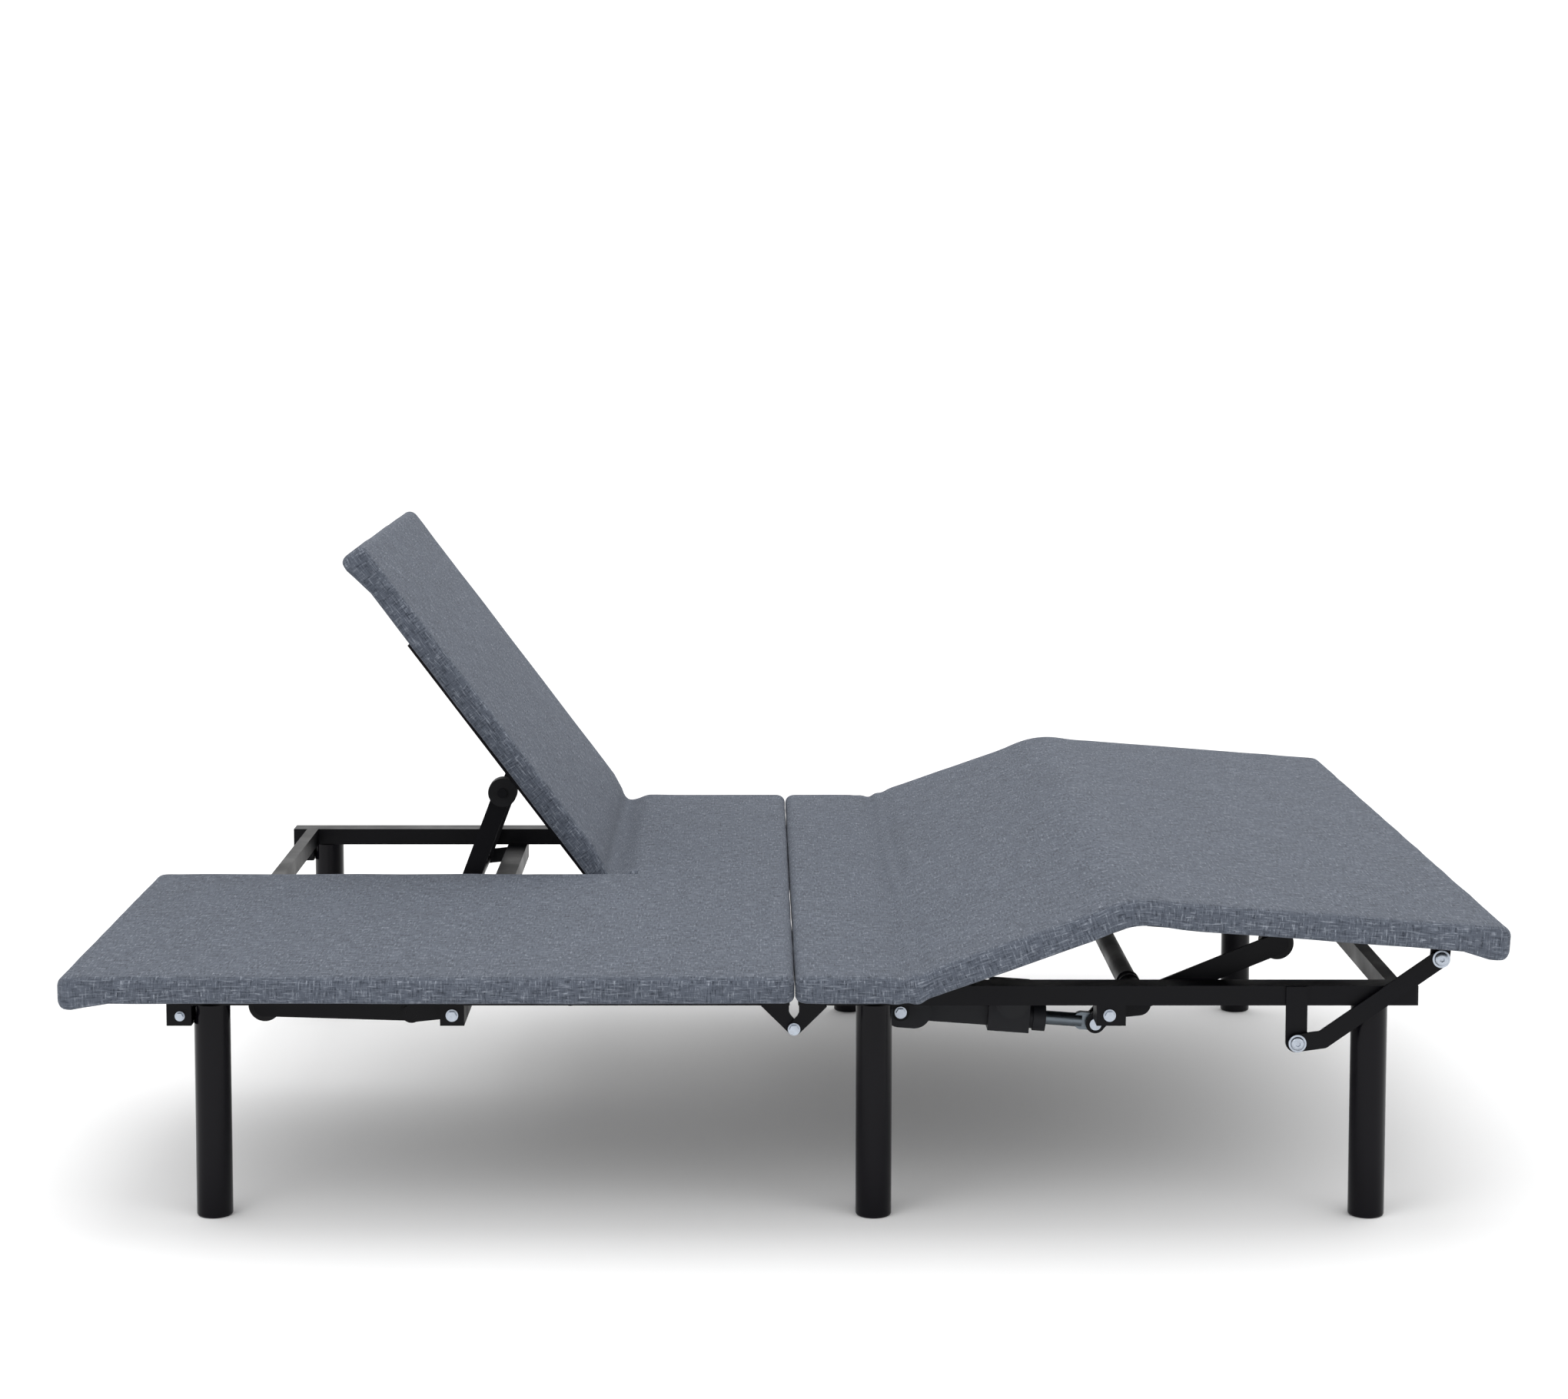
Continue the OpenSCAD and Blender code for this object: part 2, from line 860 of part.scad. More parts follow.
module foot_bars() {
    x0 = knee_pivot[0] + 20;
    color(black)
        foot_pose()
            both_sides() {
                deck_bar(x0, rail_foot_x - 44, bar_y);
                deck_ear(x0 + 16, knee_pivot, ear_y + plate_t + 1,
                         ear_y + 2 * plate_t + 1, 18);
                box(x0 + 6, x0 + 40, ear_y, ear_y + 2 * plate_t + 1,
                    deck_z - bar_h + 1, deck_z - 1);
                difference() {
                    union() {
                        slab(link_ear_y, link_ear_y + plate_t)
                            bar_2d([link_head[0], deck_z - 15], link_head, 28);
                        box(link_head[0] - 14, link_head[0] + 14,
                            link_ear_y - 40, link_ear_y + plate_t,
                            deck_z - 4, deck_z);
                    }
                    rod_y(link_head, pin_d + pin_fit, 600, 700);
                }
            }
}

module link_head_bolts() {
    color(steel)
        foot_pose()
            both_sides()
                bolt_y(link_head, pin_d, link_y + plate_t + 0.5,
                       link_ear_y - 4, 2.3);
}

link_play = 3.8;

// Cranked link from the bracket on the rail to the foot section
module swing_link() {
    bend = link_foot + [36, 5];
    end = link_foot + link_len * dir(link_deg);
    color(black)
        difference() {
            slab(link_y, link_y + plate_t)
                union() {
                    bar_2d(link_foot, bend, 25);
                    bar_2d(bend, end, 25);
                }
            rod_y(link_foot, pin_d + pin_fit, 600, 700);
            rod_y(end, pin_d + 2 * link_play, 600, 700);
        }
}
module link_near() {
    mirror([0, 1, 0])
        swing_link();
}
module link_far() { swing_link(); }

// ---- Foot lift ------------------------------------------------------------

foot_wheel_now = foot_lift_pivot + foot_arm_len * dir(foot_arm_deg);

module foot_lifter() {
    p = foot_lift_pivot;
    end = rail_in - plate_t - 2;
    color(black) {
        rod_y(p, 2 * torque_r, -end, end);
        both_sides() {
            rod_y(p, journal_d, end - 1, rail_in);
            lift_arm(p, foot_wheel_now, arm_y0);
        }
        difference() {
            crank(p, foot_pin, -foot_motor_y, 28);
            rod_y(foot_pin, pin_d + pin_fit, -600, -400);
        }
    }
}
module foot_wheels() {
    color(plastic)
        both_sides()
            lift_wheel(foot_wheel_now, arm_y0);
}
module foot_crank_pin() {
    color(steel)
        union() {
            rod_y(foot_pin, pin_d, -foot_motor_y - 16, -foot_motor_y + 16);
            rod_y(foot_pin, 17, -foot_motor_y - 18, -foot_motor_y - 14);
        }
}

module foot_gearbox() {
    color(plastic) {
        difference() {
            union() {
                slab(-22, 22)
                    bar_2d([0, 0], [20, 0], 50);
                box(18, 132, -14, 14, -14, 14);
                box(128, 188, -22, 22, -20, 50);
            }
            rod_y([0, 0], pin_d + pin_fit, -30, 30);
            rod_x(rod_d + 4, 70, 190);
        }
        actuator_tube(188, 212);
    }
}

module foot_actuator() {
    along(foot_motor_pivot, foot_eye, -foot_motor_y)
        foot_gearbox();
}
module foot_motor() {
    color(black)
        along(foot_motor_pivot, foot_eye, -foot_motor_y)
            translate([157, 0, 35]) {
                rod_y([0, 0], 48, -68, -23);
                rod_y([0, 0], 38, -72, -22);
            }
}
module foot_rod() {
    len = norm(foot_eye - foot_motor_pivot);
    along(foot_motor_pivot, foot_eye, -foot_motor_y)
        actuator_rod(len - 180, len, foot_play);
}

foot_rail_near();
foot_rail_far();
foot_end_tube();
thigh_hinge_tube();
foot_fold_tube();
foot_fold_plates();
foot_lift_bearings();
legs_foot();
legs_mid();
link_brackets();
link_pivot_bolts();
seat_board_foot();
seat_cover_foot();
foot_frame_pins();
fold_bolts();
rail_end_caps();
control_box();
head_rail_near();
head_rail_far();
head_end_tube();
head_hinge_tube();
head_lift_tube();
head_fold_tube();
head_fold_plates();
legs_head();
seat_board_head();
seat_cover_head();
head_frame_pins();
headboard_brackets();
head_board_near();
head_cover_near();
head_bars_near();
head_board_far();
head_cover_far();
head_bars_far();
head_lifter_near();
head_wheels_near();
head_lifter_far();
head_wheels_far();
head_actuator_near();
head_motor_near();
head_rod_near();
head_actuator_far();
head_motor_far();
head_rod_far();
thigh_board();
thigh_cover();
thigh_bars();
foot_board();
foot_cover();
foot_bars();
link_head_bolts();
link_near();
link_far();
foot_lifter();
foot_crank_pin();
foot_wheels();
foot_actuator();
foot_motor();
foot_rod();
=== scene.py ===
"""Split-head adjustable bed base: covers, finishes and studio on the CAD frame."""

import json
from math import atan2, pi, radians

import bmesh
import bpy
import numpy as np
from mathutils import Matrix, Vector, noise


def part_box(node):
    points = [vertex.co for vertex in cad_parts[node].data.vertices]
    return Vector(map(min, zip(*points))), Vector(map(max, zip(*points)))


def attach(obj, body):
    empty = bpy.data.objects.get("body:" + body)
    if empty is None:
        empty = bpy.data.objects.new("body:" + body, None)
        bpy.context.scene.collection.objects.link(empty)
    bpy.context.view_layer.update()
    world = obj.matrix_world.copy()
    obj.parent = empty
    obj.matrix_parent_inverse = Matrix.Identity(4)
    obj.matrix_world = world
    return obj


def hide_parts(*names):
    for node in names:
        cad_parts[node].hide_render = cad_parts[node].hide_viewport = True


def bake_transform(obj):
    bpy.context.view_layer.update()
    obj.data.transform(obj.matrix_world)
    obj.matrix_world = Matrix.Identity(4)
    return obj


bl_info = {
    "name": "Adjustable bed base",
    "version": (1, 0, 0),
    "blender": (4, 5, 0),
    "location": "3D View > Sidebar > Bed base",
    "description": "Upholstered covers, bolts, finishes and studio for a bed base",
    "category": "Object",
}

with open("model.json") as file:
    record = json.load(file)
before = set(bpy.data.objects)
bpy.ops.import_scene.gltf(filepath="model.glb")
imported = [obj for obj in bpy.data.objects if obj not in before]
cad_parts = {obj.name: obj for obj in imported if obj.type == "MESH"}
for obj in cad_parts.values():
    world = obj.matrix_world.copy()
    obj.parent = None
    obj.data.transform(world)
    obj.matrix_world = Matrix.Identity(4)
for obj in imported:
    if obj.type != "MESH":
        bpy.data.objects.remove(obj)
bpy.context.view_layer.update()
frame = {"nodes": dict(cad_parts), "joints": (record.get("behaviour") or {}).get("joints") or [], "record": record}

# Hinge lines of the deck as (x, z), the knee's with the deck flat
HEAD_PIVOT = (-0.306, 0.303)
THIGH_PIVOT = (0.180, 0.303)
KNEE_FLAT = (0.504, 0.324)

# Height of the middle of a flat panel
PANEL_MID = 0.352

# Where the covers end along the bed, flat, and across it
HEAD_END = -1.0
SEAT_SEAM = -0.231
FOLD_HEAD_SIDE = 0.0106
FOLD_FOOT_SIDE = 0.0114
THIGH_SEAM = 0.345
FOOT_END = 1.015
HALF_WIDTH = 0.755
HALF_SPLIT = 0.0025

# From where to where a cover bends over its hinge
HEAD_BEND = (-0.366, -0.246)
THIGH_BEND = (0.130, 0.230)
KNEE_BEND = (0.440, 0.568)

# Lengths and shares smaller than this count as nothing
EPSILON = 1e-6

# A colour Mix node's sockets share their names with its number sockets, so
# they are taken by place
MIX_A, MIX_B, MIX_RESULT = 6, 7, 2


def joint(name):
    """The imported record's joint of that name."""
    return next(j for j in frame["joints"] if j["name"] == name)


HEAD_LIFT = radians(-joint("head_raise_far")["range_deg"][0])
THIGH_LIFT = radians(-joint("leg_raise")["range_deg"][0])


def linear(text):
    """An sRGB hex colour as the three linear values that a shader takes."""
    out = []
    for i in (1, 3, 5):
        c = int(text[i:i + 2], 16) / 255
        out.append(c / 12.92 if c <= 0.04045 else ((c + 0.055) / 1.055) ** 2.4)
    return tuple(out)


# ---- Sizes and colours that a user would change ----------------------------


def length(name, description, default, low=0.0, high=0.2):
    return bpy.props.FloatProperty(
        name=name, description=description, default=default, min=low, max=high,
        subtype="DISTANCE", unit="LENGTH", precision=4)


def colour(name, description, text):
    return bpy.props.FloatVectorProperty(
        name=name, description=description, default=linear(text), size=3,
        min=0.0, max=1.0, subtype="COLOR")


class BEDBASE_PG_sizes(bpy.types.PropertyGroup):
    underside: length("Underside", "Height of the cover's underside", 0.3335, 0.3, 0.4)
    top: length("Top", "Height of the cover's top face", 0.3705, 0.3, 0.45)
    plan_radius: length("Corner radius", "Radius of a corner seen from above", 0.020)
    top_radius: length("Top edge", "Radius of the padded top edge", 0.013)
    bottom_radius: length("Bottom edge", "Radius of the bottom edge", 0.009)
    hem: length("Hem", "Width of the fabric turned under the board", 0.037)
    board_top: length("Board top", "Height of the board's top face", 0.3495, 0.3, 0.4)
    lip_length: length("Lip length", "Length of the thick lip at a free end", 0.052)
    lip_drop: length("Lip drop", "How far the lip hangs below the panel", 0.0085)
    slack: length("Slack", "Height of the unevenness in the padding", 0.0009)
    crease: length("Crease", "Depth of the folds over a hinge", 0.0022)
    cell: length("Mesh cell", "Largest cell of a cover's mesh", 0.036, 0.01, 0.1)
    fine_cell: length("Hinge cell", "Cell of the mesh over a hinge", 0.005, 0.002, 0.03)


class BEDBASE_PG_colours(bpy.types.PropertyGroup):
    yarn: colour("Yarn", "Middle tone of the woven cover", "#4d535e")
    yarn_light: colour("Light yarn", "Pale slubs in the weave", "#8b919b")
    yarn_dark: colour("Dark yarn", "Dark slubs in the weave", "#222731")
    dust_cloth: colour("Dust cloth", "Non-woven cloth under the boards", "#17171a")
    powder: colour("Powder coat", "Frame and arms", "#08080c")
    gloss: colour("Leg paint", "Gloss paint of the legs", "#07060b")
    zinc: colour("Zinc plate", "Bolts and washers", "#a9b0ba")
    rod: colour("Rod steel", "Actuator rods", "#6c747b")
    nylon: colour("Nylon", "Lift wheels", "#151517")
    housing: colour("Housing", "Gearbox housings and control box", "#1a1b1f")
    motor: colour("Motor paint", "Motor cans", "#16171b")
    cap: colour("End cap", "Rail end caps", "#101013")
    floor: colour("Floor", "Studio floor", "#fafafa")


# ---- Materials ---------------------------------------------------------------


def add(tree, kind, links=(), **settings):
    """A node with its settings, and links as (input, node, output)."""
    n = tree.nodes.new(kind)
    for key, value in settings.items():
        if hasattr(n, key):
            setattr(n, key, value)
        else:
            n.inputs[key.replace("_", " ")].default_value = value
    for socket, source, out in links:
        tree.links.new(source.outputs[out], n.inputs[socket])
    return n


def begin(name, **settings):
    """A new material with its shader's constants set: material, tree, shader."""
    m = bpy.data.materials.new(name)
    m.use_nodes = True
    tree = m.node_tree
    shader = tree.nodes["Principled BSDF"]
    for key, value in settings.items():
        socket = shader.inputs[key.replace("_", " ")]
        if hasattr(socket.default_value, "__len__") and len(value) == 3:
            value = (*value, 1.0)
        socket.default_value = value
    return m, tree, shader


def tone(c, k):
    """A colour made k times as bright, up to full."""
    return tuple(min(1.0, x * k) for x in c)


def ramp(tree, source, out, stops):
    """A colour ramp on a node's output. Stops are (position, colour)."""
    n = add(tree, "ShaderNodeValToRGB", [("Fac", source, out)])
    while len(n.color_ramp.elements) < len(stops):
        n.color_ramp.elements.new(0.5)
    for e, (at, c) in zip(n.color_ramp.elements, stops):
        e.position = at
        e.color = (*c, 1.0) if len(c) == 3 else c
    return n


def grey(v):
    return (v, v, v)


def heather_fabric(c):
    """Linen-look upholstery, woven from melange polyester yarn: matt and soft,
    with short pale and dark slubs along both yarns and a fine grid of threads."""
    m, t, s = begin("melange_polyester_weave", Roughness=0.92, Sheen_Weight=0.12,
                    Sheen_Roughness=0.5, IOR=1.45)
    s.inputs["Sheen Tint"].default_value = (*c.yarn_light, 1.0)
    uv = add(t, "ShaderNodeUVMap", uv_map="cloth")

    def slubs(per_metre_x, per_metre_y, detail):
        mapped = add(t, "ShaderNodeMapping", [("Vector", uv, "UV")],
                     Scale=(per_metre_x, per_metre_y, 1.0))
        return add(t, "ShaderNodeTexNoise", [("Vector", mapped, "Vector")],
                   Scale=1.0, Detail=detail, Roughness=0.62)

    # Real slubs are about 1 mm thick. They are drawn 2.5 mm thick and 17 to
    # 21 mm long, or they would be too fine to show.
    weft = slubs(48.0, 400.0, 5.0)
    warp = slubs(380.0, 60.0, 5.0)
    blotch = slubs(11.0, 11.0, 3.0)
    weft_tone = ramp(t, weft, "Fac", [(0.36, c.yarn_dark), (0.48, c.yarn),
                                      (0.54, c.yarn), (0.66, c.yarn_light)])
    warp_tone = ramp(t, warp, "Fac", [(0.36, c.yarn_dark), (0.47, c.yarn),
                                      (0.55, c.yarn), (0.68, c.yarn_light)])
    # Plain weave at 3 mm: drawn four times as coarse as the real threads, so
    # that it shows.
    over = add(t, "ShaderNodeTexBrick", [("Vector", uv, "UV")], Scale=1.0,
               offset=0.5, Color1=(1, 1, 1, 1), Color2=(0.1, 0.1, 0.1, 1),
               Mortar=(0.5, 0.5, 0.5, 1), Mortar_Size=0.0004,
               Mortar_Smooth=0.6, Brick_Width=0.006, Row_Height=0.003)
    crossed = add(t, "ShaderNodeMix", [("Factor", over, "Color"),
                                       (MIX_A, weft_tone, "Color"),
                                       (MIX_B, warp_tone, "Color")],
                  data_type="RGBA")
    shade = ramp(t, blotch, "Fac", [(0.3, grey(0.88)), (0.7, grey(1.0))])
    final = add(t, "ShaderNodeMix", [(MIX_A, crossed, MIX_RESULT),
                                     (MIX_B, shade, "Color")],
                data_type="RGBA", blend_type="MULTIPLY", Factor=1.0)
    t.links.new(final.outputs[MIX_RESULT], s.inputs["Base Color"])
    threads = add(t, "ShaderNodeBump", [("Height", over, "Fac")], invert=True,
                  Strength=0.4, Distance=0.0006)
    knots = add(t, "ShaderNodeBump", [("Height", weft, "Fac"),
                                      ("Normal", threads, "Normal")],
                Strength=0.5, Distance=0.001)
    last = add(t, "ShaderNodeBump", [("Height", warp, "Fac"),
                                     ("Normal", knots, "Normal")],
               Strength=0.4, Distance=0.001)
    t.links.new(last.outputs["Normal"], s.inputs["Normal"])
    return m


def object_noise(t, scale, detail=2.0, stretch=(1.0, 1.0, 1.0), rough=0.5):
    """Noise in the object's own metres: 1 / scale is the size of its spots."""
    co = add(t, "ShaderNodeTexCoord")
    mapped = add(t, "ShaderNodeMapping", [("Vector", co, "Object")], Scale=stretch)
    return add(t, "ShaderNodeTexNoise", [("Vector", mapped, "Vector")],
               Scale=scale, Detail=detail, Roughness=rough)


def surfaced(m, t, s, base, spread, fine, coarse, depth, rough):
    """Colour and roughness that drift with a coarse noise, and a fine bump.

    spread is the colour's change, fine and coarse are spots per metre, depth is
    the bump's height in metres, and rough is the range of roughness."""
    drift = object_noise(t, coarse, 4.0)
    tint = ramp(t, drift, "Fac", [(0.3, tone(base, 1 - spread)),
                                  (0.7, tone(base, 1 + spread))])
    t.links.new(tint.outputs["Color"], s.inputs["Base Color"])
    gloss = ramp(t, drift, "Fac", [(0.3, grey(rough[0])), (0.7, grey(rough[1]))])
    t.links.new(gloss.outputs["Color"], s.inputs["Roughness"])
    grain = object_noise(t, fine)
    bump = add(t, "ShaderNodeBump", [("Height", grain, "Fac")],
               Strength=0.35, Distance=depth)
    t.links.new(bump.outputs["Normal"], s.inputs["Normal"])
    return m


def powder_coat(c):
    """Baked epoxy powder over steel tube: satin black with an orange peel
    about 1.5 mm across, and slightly browner and duller where it is thin."""
    m, t, s = begin("black_powder_coat", IOR=1.5, Specular_IOR_Level=0.12)
    return surfaced(m, t, s, c.powder, spread=0.22, fine=700.0,
                    coarse=14.0, depth=0.00012, rough=(0.34, 0.5))


def gloss_paint(c):
    """Wet-sprayed gloss enamel on the legs: deep black with sharp highlights."""
    m, t, s = begin("gloss_black_enamel", IOR=1.5, Specular_IOR_Level=0.14)
    return surfaced(m, t, s, c.gloss, spread=0.15, fine=260.0,
                    coarse=9.0, depth=0.00005, rough=(0.16, 0.26))


def zinc_plate(c):
    """Bright zinc plate on pressed and turned steel: pale, bluish, a bit cloudy."""
    m, t, s = begin("zinc_plated_steel", Metallic=1.0)
    return surfaced(m, t, s, c.zinc, spread=0.12, fine=1500.0,
                    coarse=160.0, depth=0.00004, rough=(0.24, 0.42))


def drawn_rod(c):
    """Cold-drawn steel rod, satin: fine lines along its length."""
    m, t, s = begin("drawn_steel_rod", Metallic=1.0)
    lines = object_noise(t, 1.0, 3.0, (25.0, 1800.0, 1800.0))
    tint = ramp(t, lines, "Fac", [(0.3, tone(c.rod, 0.72)), (0.7, c.rod)])
    t.links.new(tint.outputs["Color"], s.inputs["Base Color"])
    gloss = ramp(t, lines, "Fac", [(0.3, grey(0.42)), (0.7, grey(0.26))])
    t.links.new(gloss.outputs["Color"], s.inputs["Roughness"])
    bump = add(t, "ShaderNodeBump", [("Height", lines, "Fac")],
               Strength=0.3, Distance=0.00005)
    t.links.new(bump.outputs["Normal"], s.inputs["Normal"])
    return m


def nylon(c):
    """Injection-moulded glass-filled nylon: waxy black with a mottled grey bloom."""
    m, t, s = begin("moulded_black_nylon", IOR=1.53, Specular_IOR_Level=0.15)
    return surfaced(m, t, s, c.nylon, spread=0.3, fine=900.0,
                    coarse=60.0, depth=0.00006, rough=(0.45, 0.6))


def housing_abs(c):
    """Moulded ABS with a spark-eroded texture: even, dull charcoal black."""
    m, t, s = begin("textured_black_abs", IOR=1.54, Specular_IOR_Level=0.18)
    return surfaced(m, t, s, c.housing, spread=0.12, fine=1300.0,
                    coarse=20.0, depth=0.0001, rough=(0.5, 0.62))


def motor_enamel(c):
    """Dipped electrical enamel on a drawn steel can: semi-gloss, slightly wavy."""
    m, t, s = begin("motor_can_enamel", IOR=1.5, Specular_IOR_Level=0.18)
    return surfaced(m, t, s, c.motor, spread=0.18, fine=180.0,
                    coarse=24.0, depth=0.00006, rough=(0.3, 0.42))


def cap_plastic(c):
    """Low-density polyethylene end caps: soft satin black."""
    m, t, s = begin("polyethylene_cap", IOR=1.51, Specular_IOR_Level=0.15)
    return surfaced(m, t, s, c.cap, spread=0.2, fine=500.0,
                    coarse=40.0, depth=0.00005, rough=(0.4, 0.52))


def dust_cloth(c):
    """Non-woven polypropylene dust cloth: matt black with a bonded dot grid
    and random fibres."""
    m, t, s = begin("non_woven_dust_cloth", Roughness=0.95, IOR=1.49,
                    Sheen_Weight=0.2)
    fibres = object_noise(t, 420.0, 5.0, rough=0.7)
    tint = ramp(t, fibres, "Fac", [(0.3, tone(c.dust_cloth, 0.7)),
                                   (0.7, tone(c.dust_cloth, 1.6))])
    t.links.new(tint.outputs["Color"], s.inputs["Base Color"])
    co = add(t, "ShaderNodeTexCoord")
    dots = add(t, "ShaderNodeTexVoronoi", [("Vector", co, "Object")],
               Scale=330.0, Randomness=0.15)
    bump = add(t, "ShaderNodeBump", [("Height", dots, "Distance")],
               Strength=0.4, Distance=0.0002)
    last = add(t, "ShaderNodeBump", [("Height", fibres, "Fac"),
                                     ("Normal", bump, "Normal")],
               Strength=0.5, Distance=0.0002)
    t.links.new(last.outputs["Normal"], s.inputs["Normal"])
    return m


def floor_paint(c):
    """Matt painted studio floor: nearly white, faintly uneven."""
    m, t, s = begin("matt_studio_paint", IOR=1.45)
    return surfaced(m, t, s, c.floor, spread=0.01, fine=60.0,
                    coarse=1.5, depth=0.0001, rough=(0.75, 0.85))


FINISHES = {
    "deck_fabric": heather_fabric, "plywood": dust_cloth,
    "leg_paint": gloss_paint, "zinc_steel": zinc_plate, "rod_steel": drawn_rod,
    "wheel_plastic": nylon, "housing_plastic": housing_abs,
    "motor_paint": motor_enamel, "cap_plastic": cap_plastic,
    "frame_paint": powder_coat, "floor": floor_paint,
}
made = {}


def finish(name):
    """The material of a slot, made once."""
    if name not in made:
        made[name] = FINISHES[name](bpy.context.scene.bed_colours)
    return made[name]


def dress(obj, *names):
    """Gives an object the materials of these slots, and no others."""
    obj.data.materials.clear()
    for name in names:
        obj.data.materials.append(finish(name))


def choose(*objects):
    """Selects only these objects, and makes the first of them active."""
    for o in list(bpy.context.selected_objects):
        o.select_set(False)
    for o in objects:
        o.select_set(True)
    bpy.context.view_layer.objects.active = objects[0] if objects else None


# ---- Covers ------------------------------------------------------------------

# How far a joined end is drawn past its seam before it is cut there
OVERRUN = 0.1
# Steps round a corner in plan, and over the top and bottom edges
CORNER_STEPS, TOP_STEPS, BOTTOM_STEPS = 7, 6, 5
# Taper of the hollow's wall
WALL_TAPER = 0.0004
# How far fine cells run past a zone
ZONE_MARGIN = 0.02
# Distance within which a cut uses a vertex that is there already
WELD = 1e-5
# Steps of the search for a point's share of a bend, each half the last
HALVINGS = 44
# Smallest upright part of a normal on the top and underside
LEVEL_FACE = 0.72
# Shift of the ends' UVs, which keeps their weave apart from the top's
ENDS_SHIFT = 3.0
# Height below which a face belongs to the hem, and not to the hollow
HEM_TOP = 0.336
# Spots per metre of the padding's large and small unevenness
LUMPS, DENTS = 11.0, 31.0
# Height of the small unevenness against the large
DENT_SHARE = 0.4
# Half width of the folds over the thigh hinge
CREASE_WIDTH = 0.045
# Length of a board's end in which its lowest point is looked for
BOARD_END = 0.05
# Angle between faces above which an edge stays sharp, in degrees
COVER_EDGE, BOLT_EDGE = 38, 35


def turned(p, pivot, angle):
    """Points p (x, z) turned about a pivot, +X side up for a positive angle."""
    x, z = p[:, 0] - pivot[0], p[:, 1] - pivot[1]
    c, s = np.cos(angle), np.sin(angle)
    return np.stack([pivot[0] + x * c - z * s, pivot[1] + x * s + z * c], 1)


def eased(t):
    """Smooth step from 0 to 1."""
    t = np.clip(t, 0, 1)
    return t * t * (3 - 2 * t)


def wrapped(flat, pivot, angle_a, angle_b, start, end):
    """Bend flat points (x, z) between two bodies at angles a and b.

    Returns the points and the bent start and end."""
    s = turned(np.array([[start, PANEL_MID]]), pivot, angle_a)[0]
    e = turned(np.array([[end, PANEL_MID]]), pivot, angle_b)[0]
    d = e - s
    low, high = np.zeros(len(flat)), np.ones(len(flat))
    for _ in range(HALVINGS):
        w = (low + high) / 2
        p = turned(flat, pivot, angle_a + (angle_b - angle_a) * w)
        more = eased((p - s) @ d / (d @ d)) > w
        low = np.where(more, w, low)
        high = np.where(more, high, w)
    w = (low + high) / 2
    w[w < EPSILON] = 0
    w[w > 1 - EPSILON] = 1
    return turned(flat, pivot, angle_a + (angle_b - angle_a) * w), s, e


def cuts(low, high, cell, zones, fine):
    """Positions of the mesh's cuts: wide cells, and fine ones in the zones."""
    out, x = [], low
    while x < high - EPSILON:
        near = any(a - ZONE_MARGIN < x < b + ZONE_MARGIN for a, b in zones)
        x += fine if near else cell
        out.append(min(x, high))
    return out[:-1]


def padded_slab(name, x0, x1, y0, y1, joined0, joined1, zones):
    """A wrapped panel drawn flat, hollow below for its board. A joined end is
    cut square, and any other end is rounded."""
    size = bpy.context.scene.bed_sizes
    xa = x0 - OVERRUN * joined0
    xb = x1 + OVERRUN * joined1
    bm = bmesh.new()
    bmesh.ops.create_cube(bm, size=1.0)
    for v in bm.verts:
        v.co = Vector((xa if v.co.x < 0 else xb, y0 if v.co.y < 0 else y1,
                       size.underside if v.co.z < 0 else size.top))
    upright = [e for e in bm.edges if abs(e.verts[0].co.z - e.verts[1].co.z) > 0.01]
    bmesh.ops.bevel(bm, geom=upright, offset=size.plan_radius,
                    segments=CORNER_STEPS, profile=0.5, affect="EDGES")
    for z, r, n in ((size.top, size.top_radius, TOP_STEPS),
                    (size.underside, size.bottom_radius, BOTTOM_STEPS)):
        rim = [e for e in bm.edges
               if all(abs(v.co.z - z) < EPSILON for v in e.verts)]
        bmesh.ops.bevel(bm, geom=rim, offset=r, segments=n, profile=0.5,
                        affect="EDGES")
    bottom = [max((f for f in bm.faces if f.normal.z < -0.99),
                  key=lambda f: f.calc_area())]
    bmesh.ops.inset_region(bm, faces=bottom, depth=0.0,
                           thickness=size.hem - size.bottom_radius)
    bmesh.ops.inset_individual(bm, faces=bottom, thickness=WALL_TAPER,
                               depth=size.underside - size.board_top)
    for axis, low, high, z in ((0, xa, xb, zones), (1, y0, y1, ())):
        for at in cuts(low, high, size.cell, z, size.fine_cell):
            co, no = Vector((0, 0, 0)), Vector((0, 0, 0))
            co[axis], no[axis] = at, 1
            bmesh.ops.bisect_plane(
                bm, geom=bm.verts[:] + bm.edges[:] + bm.faces[:], dist=WELD,
                plane_co=co, plane_no=no)
    for flag, at, way in ((joined0, x0, -1), (joined1, x1, 1)):
        if flag:
            bmesh.ops.bisect_plane(
                bm, geom=bm.verts[:] + bm.edges[:] + bm.faces[:], dist=WELD,
                plane_co=(at, 0, 0), plane_no=(way, 0, 0), clear_outer=True)
            bmesh.ops.holes_fill(bm, edges=[e for e in bm.edges if e.is_boundary])
    bmesh.ops.recalc_face_normals(bm, faces=bm.faces)
    mesh = bpy.data.meshes.new(name)
    bm.to_mesh(mesh)
    bm.free()
    obj = bpy.data.objects.new(name, mesh)
    bpy.context.scene.collection.objects.link(obj)
    return obj


